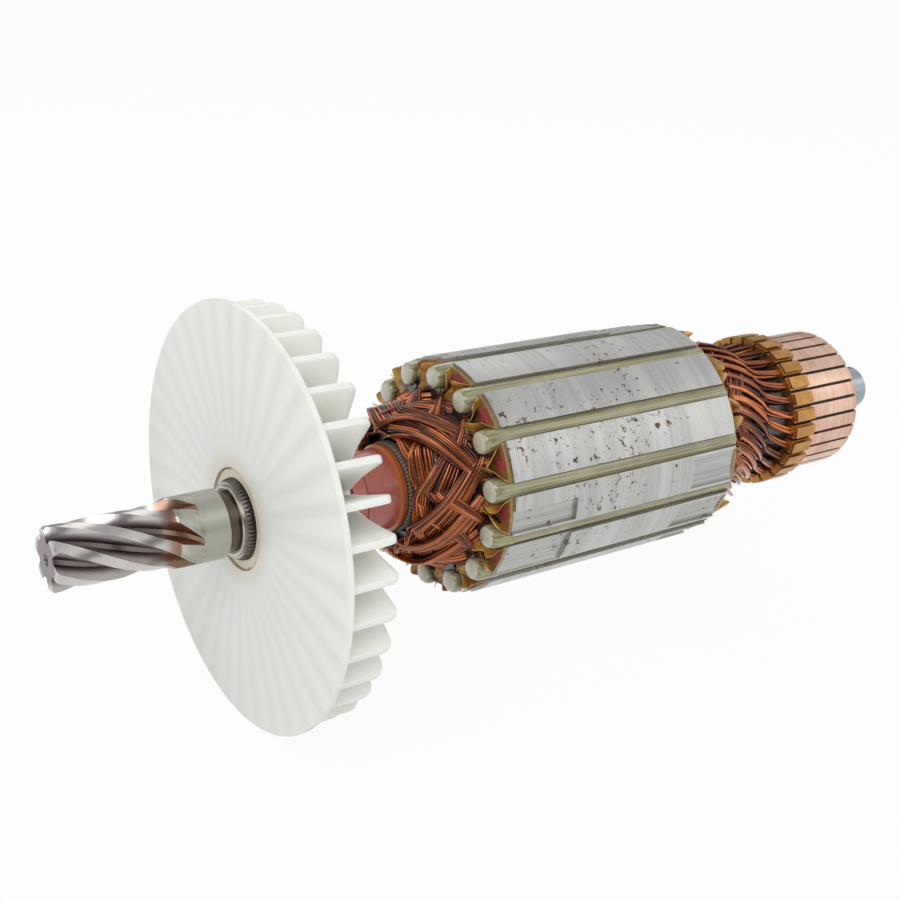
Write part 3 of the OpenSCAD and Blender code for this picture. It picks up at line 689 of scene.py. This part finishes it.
def makeFan():
    rim, back = fanRadius, fanFront + fan["disc"]
    outline = [(fanFront, fan["bore"]), (fanFront, rim - 0.5), (fanFront + 0.15, rim - 0.15), (fanFront + 0.5, rim),
               (back - 0.3, rim), (back, rim - 0.3), (back, fan["hub"] + 1.0), (back + 0.3, fan["hub"] + 0.3),
               (back + 1.0, fan["hub"]), (fanBack - 1, fan["hub"] - 1), (fanBack - 0.3, fan["hub"] - 1.5),
               (fanBack, fan["hub"] - 2.1), (fanBack, fan["bore"])]
    disc = turnBody("fanDisc", outline, 180)
    first = makeBlade()
    pieces = [disc, first]
    for k in range(1, fan["blades"]):
        blade = first.copy()
        blade.data = first.data.copy()
        bpy.context.scene.collection.objects.link(blade)
        blade.data.transform(Matrix.Rotation(math.radians(fan["firstBlade"] + k * 360 / fan["blades"]), 4, "X"))
        pieces.append(blade)
    first.data.transform(Matrix.Rotation(math.radians(fan["firstBlade"]), 4, "X"))
    whole = joinAll(pieces, "fanSurface")
    bpy.ops.object.shade_smooth_by_angle(angle=math.radians(40))
    finishPiece(whole, nylon, ["cooling_fan"])


makeFan()
print("fan ready")


def drawWires(name, lines, thickness, shades):
    # round wires along lines of points, made one mesh, with a shade for each wire
    curve = bpy.data.curves.new(name, "CURVE")
    curve.dimensions = "3D"
    curve.bevel_depth = thickness / 2 * mm
    curve.bevel_resolution = 1
    curve.use_fill_caps = True
    for line in lines:
        spline = curve.splines.new("POLY")
        spline.points.add(len(line) - 1)
        for point, spot in zip(spline.points, line):
            point.co = (*spot, 1)
    obj = bpy.data.objects.new(name, curve)
    bpy.context.scene.collection.objects.link(obj)
    makeActive(obj)
    bpy.ops.object.convert(target="MESH")
    obj = bpy.context.object
    shade = obj.data.attributes.new("wireShade", "FLOAT", "POINT")
    ring = len(obj.data.vertices) // sum(len(line) for line in lines)
    done = 0
    for line, value in zip(lines, shades):
        for k in range(len(line) * ring):
            shade.data[done + k].value = value
        done += len(line) * ring
    bpy.ops.object.shade_smooth()
    return obj


# Coils are wound in opposite pairs, each pair over the one before it. The first pairs run nearly straight out of
# their slots and dive over the shoulder to the shaft; the last pairs lie slanted across the barrel of the winding.
frontCoils = dict(wire=0.82, across=11, deep=2, reach=6, breadth=6.6, fan=11.0, tip=47.2, shoulder=3.8, hug=12.8,
                  top=18.6, barrel=19.3, low=19.4, high=22.0, down=0.34, lean=0.72)
rearCoils = dict(wire=0.88, across=8, deep=1, reach=6, breadth=5.4, fan=9.0, tip=150.6, shoulder=-4.4, hug=12.6,
                 top=19.6, barrel=20.6, low=19.0, high=21.6, down=0.3, lean=0.6)


def coilWire(coil, share, depth, shift, values, mouth, steps=40):
    under = 6 - (coil - 1) % 7
    lean = values["lean"] * under / 6
    inset = under * values["down"] + depth * values["wire"] * 0.85
    way = 1 if values["shoulder"] > 0 else -1
    midX = values["tip"] + values["shoulder"] * share ** 1.6 + way * (under * 0.25 + depth * values["wire"] * 0.85)
    midR = values["hug"] + (values["top"] - values["hug"]) * share ** 0.7 * (1 - lean) - inset * 0.3
    midR = max(midR, values["hug"] - 0.4)
    barrel = values["barrel"] - inset
    slotShare = max(0.0, min(1.0, share + shift))
    slotR = values["low"] + (values["high"] - values["low"]) * slotShare - depth * 0.7
    half = values["reach"] * slotPitch / 2
    middle = (coil + 0.5) * slotPitch + half
    points = []
    for k in range(steps + 1):
        side = 2 * k / steps - 1
        t = abs(side)
        bell = math.sin(math.pi * t) ** 0.8 if 0 < t < 1 else 0.0
        out = max(0.0, (t - lean) / (1 - lean)) ** (1.45 - 0.4 * lean)
        rise = smoothStep((t - 0.45 * lean) / (0.6 + 0.1 * lean))
        r = midR + (barrel - midR) * rise + (slotR - barrel) * smoothStep((t - 0.6) / 0.4)
        x = midX + (mouth - midX) * out
        x += way * (share - 0.5) * values["breadth"] * bell * (1 - lean)
        psi = half * side - math.copysign((share - 0.5) * values["fan"] * bell * lean, side)
        wave = noise.noise(Vector((k * 0.11, share * 7 + depth * 3, coil * 5.3)))
        points.append(place(x + wave * 0.3, r + wave * 0.18, middle + psi + wave * 0.4))
    tuck = way * 1.2
    return [place(mouth + tuck, slotR, middle - half)] + points + [place(mouth + tuck, slotR, middle + half)]


def windCoils(name, values, mouth, seed):
    random.seed(seed)
    lines = []
    for coil in range(slotCount):
        for depth in range(values["deep"]):
            for k in range(values["across"]):
                share = k / (values["across"] - 1)
                lines.append(coilWire(coil, share, depth, random.uniform(-0.15, 0.15), values, mouth))
    return drawWires(name, lines, values["wire"], [random.random() for line in lines])


finishPiece(windCoils("frontCoilWires", frontCoils, sheetFront - 0.2, 3), wireCopper, ["front_winding"])
# The black varnish mass under the front wires is partly painted shade: a dark body that shows as shade in the gaps
# between the wires.
frontMass = turnBody("frontVarnishShadeMass", [(50.5, 11.0), (50.0, 13.0), (51.0, 15.0), (53.5, 16.2),
                                            (58, 17.2), (62, 19.0), (62, 11.0)])
finishPiece(frontMass, varnishAndShade, ["front_winding"])
finishPiece(windCoils("rearCoilWires", rearCoils, sheetBack + 0.2, 5), wireCopper, ["rear_winding"])
# The black varnish mass under the rear wires is partly painted shade: a dark body that shows as shade in the gaps
# between the wires.
rearMass = turnBody("rearVarnishShadeMass", [(stackBack + 1.1, 11.0), (stackBack + 1.1, 18.3), (138, 18.4), (144, 17.0),
                                        (148, 15.0), (149.5, 11.0)])
finishPiece(rearMass, varnishAndShade, ["rear_winding"])
print("winding ready")


# Each riser takes a pair of leads that come out of the slots over the rear winding.
leads = dict(wire=0.95, start=139.5, sweep=40, swing=17, swingAt=190, layers=((0.0, 0.0), (0.95, 6.4)),
             profile=[(139, 20.7), (144, 20.6), (148, 20.0), (151, 19.2), (153, 17.9), (155.5, 17.1), (158, 17.5),
                      (162, 18.2), (170, 18.2)])


def leadLine(bar, side, lower, turnBy):
    last = bar * barPitch + side * 1.4
    sweep = leads["sweep"] + leads["swing"] * math.sin(math.radians(last - leads["swingAt"]))
    steps = 24
    points = []
    for k in range(steps + 1):
        t = k / steps
        x = leads["start"] + (commFront + 0.6 - leads["start"]) * t
        r = along(leads["profile"], x) - lower + 0.15 * side
        bend = smoothStep(t) * 0.6 + t * 0.4
        wave = 1.1 * noise.noise(Vector((t * 3, bar * 1.7, side + lower * 4))) * math.sin(math.pi * t)
        points.append(place(x, r, last - sweep * (1 - bend) + wave + turnBy * (1 - t)))
    return points


random.seed(11)
leadLines = [leadLine(bar, side, lower, turnBy) for lower, turnBy in leads["layers"] for bar in range(barCount)
             for side in (-1, 1)]
leadWires = drawWires("commutatorLeadWires", leadLines, leads["wire"], [random.random() for line in leadLines])
finishPiece(leadWires, leadCopper, ["commutator_leads"])
# The black varnish mass under the leads is partly painted shade: a dark body that shows as shade in the gaps between
# the leads.
leadMass = turnBody("leadVarnishShadeMass", [(149, 10.0), (149, 17.6), (152, 16.4), (155.5, 15.2), (159, 15.6), (161.7, 16.4), (161.7, 10.0)])
finishPiece(leadMass, varnishAndShade, ["commutator_leads"])
print("leads ready")


# The liner film stands out of each slot and is crumpled over the tooth beside it.
cuffs = dict(low=18.2, high=27.2, stand=3.1, ragged=1.7, flare=2.4, crumple=0.75, film=0.25,
             half=[(18, 2.3), (22, 2.75), (24.7, 2.9), (26.5, 2.3), (27.3, 1.8)])


def makeCuff(slotTurn, side, face, way, seed):
    across, out = 12, 5
    bpy.ops.object.select_all(action="DESELECT")
    bpy.ops.mesh.primitive_grid_add(x_subdivisions=across, y_subdivisions=out, size=1)
    cuff = bpy.context.object
    for vertex in cuff.data.vertices:
        u, v = vertex.co.x + 0.5, vertex.co.y + 0.5
        r = cuffs["low"] + (cuffs["high"] - cuffs["low"]) * u
        rough = noise.noise(Vector((u * 4.2, v * 2.1, seed)))
        edge = noise.noise(Vector((u * 3.1, 7.7, seed)))
        stand = cuffs["stand"] * smoothStep(u * 2.4 + 0.2) + cuffs["ragged"] * edge
        sideways = along(cuffs["half"], r) + cuffs["flare"] * v ** 1.6 * (1 + 0.6 * edge) + cuffs["crumple"] * rough * (0.3 + v)
        x = face + way * (v * (stand + 0.4) - 0.4 + cuffs["crumple"] * rough * v)
        turn = slotTurn + side * math.degrees(math.atan2(sideways, r))
        vertex.co = place(x, min(math.hypot(r, sideways) - 0.35 * v, 27.6), turn)
    film = cuff.modifiers.new("film", "SOLIDIFY")
    film.thickness = cuffs["film"] * mm
    film.offset = 0
    bpy.ops.object.modifier_apply(modifier=film.name)
    smooth = cuff.modifiers.new("smooth", "SUBSURF")
    smooth.levels = 1
    smooth.render_levels = 1
    bpy.ops.object.modifier_apply(modifier=smooth.name)
    bpy.ops.object.mode_set(mode="EDIT")
    bpy.ops.mesh.select_all(action="SELECT")
    bpy.ops.mesh.normals_make_consistent(inside=False)
    bpy.ops.object.mode_set(mode="OBJECT")
    bpy.ops.object.shade_smooth()
    return cuff


for name, face, way in (("frontCuffs", sheetFront, -1), ("rearCuffs", sheetBack, 1)):
    made = [makeCuff((i + 0.5) * slotPitch, side, face, way, i * 3.7 + side + way * 40) for i in range(slotCount)
            for side in (-1, 1)]
    finishPiece(joinAll(made, name), amber)
print("liner cuffs ready")

# The front end of each wedge is a blunt thumb, paler on its front face.
thumbs = dict(radius=24.7, size=2.78, front=58.35, back=64.5, droop=0.35)


def makeThumb(turn):
    size, front = thumbs["size"], thumbs["front"]
    outline = [(front, 0.0), (front, size - 1.0), (front + 0.25, size - 0.45), (front + 0.8, size - 0.1),
               (front + 1.7, size), (thumbs["back"], size), (thumbs["back"], 0.0)]
    thumb = turnBody("thumb", outline, 32)
    for vertex in thumb.data.vertices:
        swell = 1 + 0.06 * noise.noise(Vector((vertex.co.x / mm * 0.4, turn, vertex.co.y / mm * 0.3)))
        low = thumbs["droop"] * max(0.0, 61.5 - vertex.co.x / mm) / 3
        vertex.co = Vector((vertex.co.x, (vertex.co.y / mm * swell + thumbs["radius"] - low) * mm, vertex.co.z * swell))
    thumb.data.transform(Matrix.Rotation(math.radians(turn), 4, "X"))
    return thumb


wedgeThumbs = joinAll([makeThumb((i + 0.5) * slotPitch) for i in range(slotCount)], "wedgeThumbs")
finishPiece(wedgeThumbs, wedgeResin)
print("wedge heads ready")

# Black glossy lumps sit in the mouth of each slot under the wedge head: partly pooled varnish and partly painted shade,
# a dark body put where shade falls round the head.
varnishShadePools = dict(radius=23.0, size=3.7, front=60.2, back=62.6)


def makeVarnishShadePool(turn):
    size, front, back = varnishShadePools["size"], varnishShadePools["front"], varnishShadePools["back"]
    outline = [(front, 0.0), (front + 0.1, size - 1.2), (front + 0.5, size - 0.4), (front + 1.2, size), (back, size), (back, 0.0)]
    shadePool = turnBody("shadePool", outline, 32)
    for vertex in shadePool.data.vertices:
        x, y, z = vertex.co / mm
        lump = 1 + 0.16 * noise.noise(Vector((x * 0.3, y * 0.35 + turn, z * 0.35)))
        vertex.co = Vector((x, y * lump + varnishShadePools["radius"], z * lump * 0.92)) * mm
    shadePool.data.transform(Matrix.Rotation(math.radians(turn), 4, "X"))
    return shadePool


slotVarnishShade = joinAll([makeVarnishShadePool((i + 0.5) * slotPitch) for i in range(slotCount)], "slotVarnishAndShade")
finishPiece(slotVarnishShade, varnishAndShade)
print("varnish ready")

bpy.context.scene.view_settings.view_transform = "Standard"
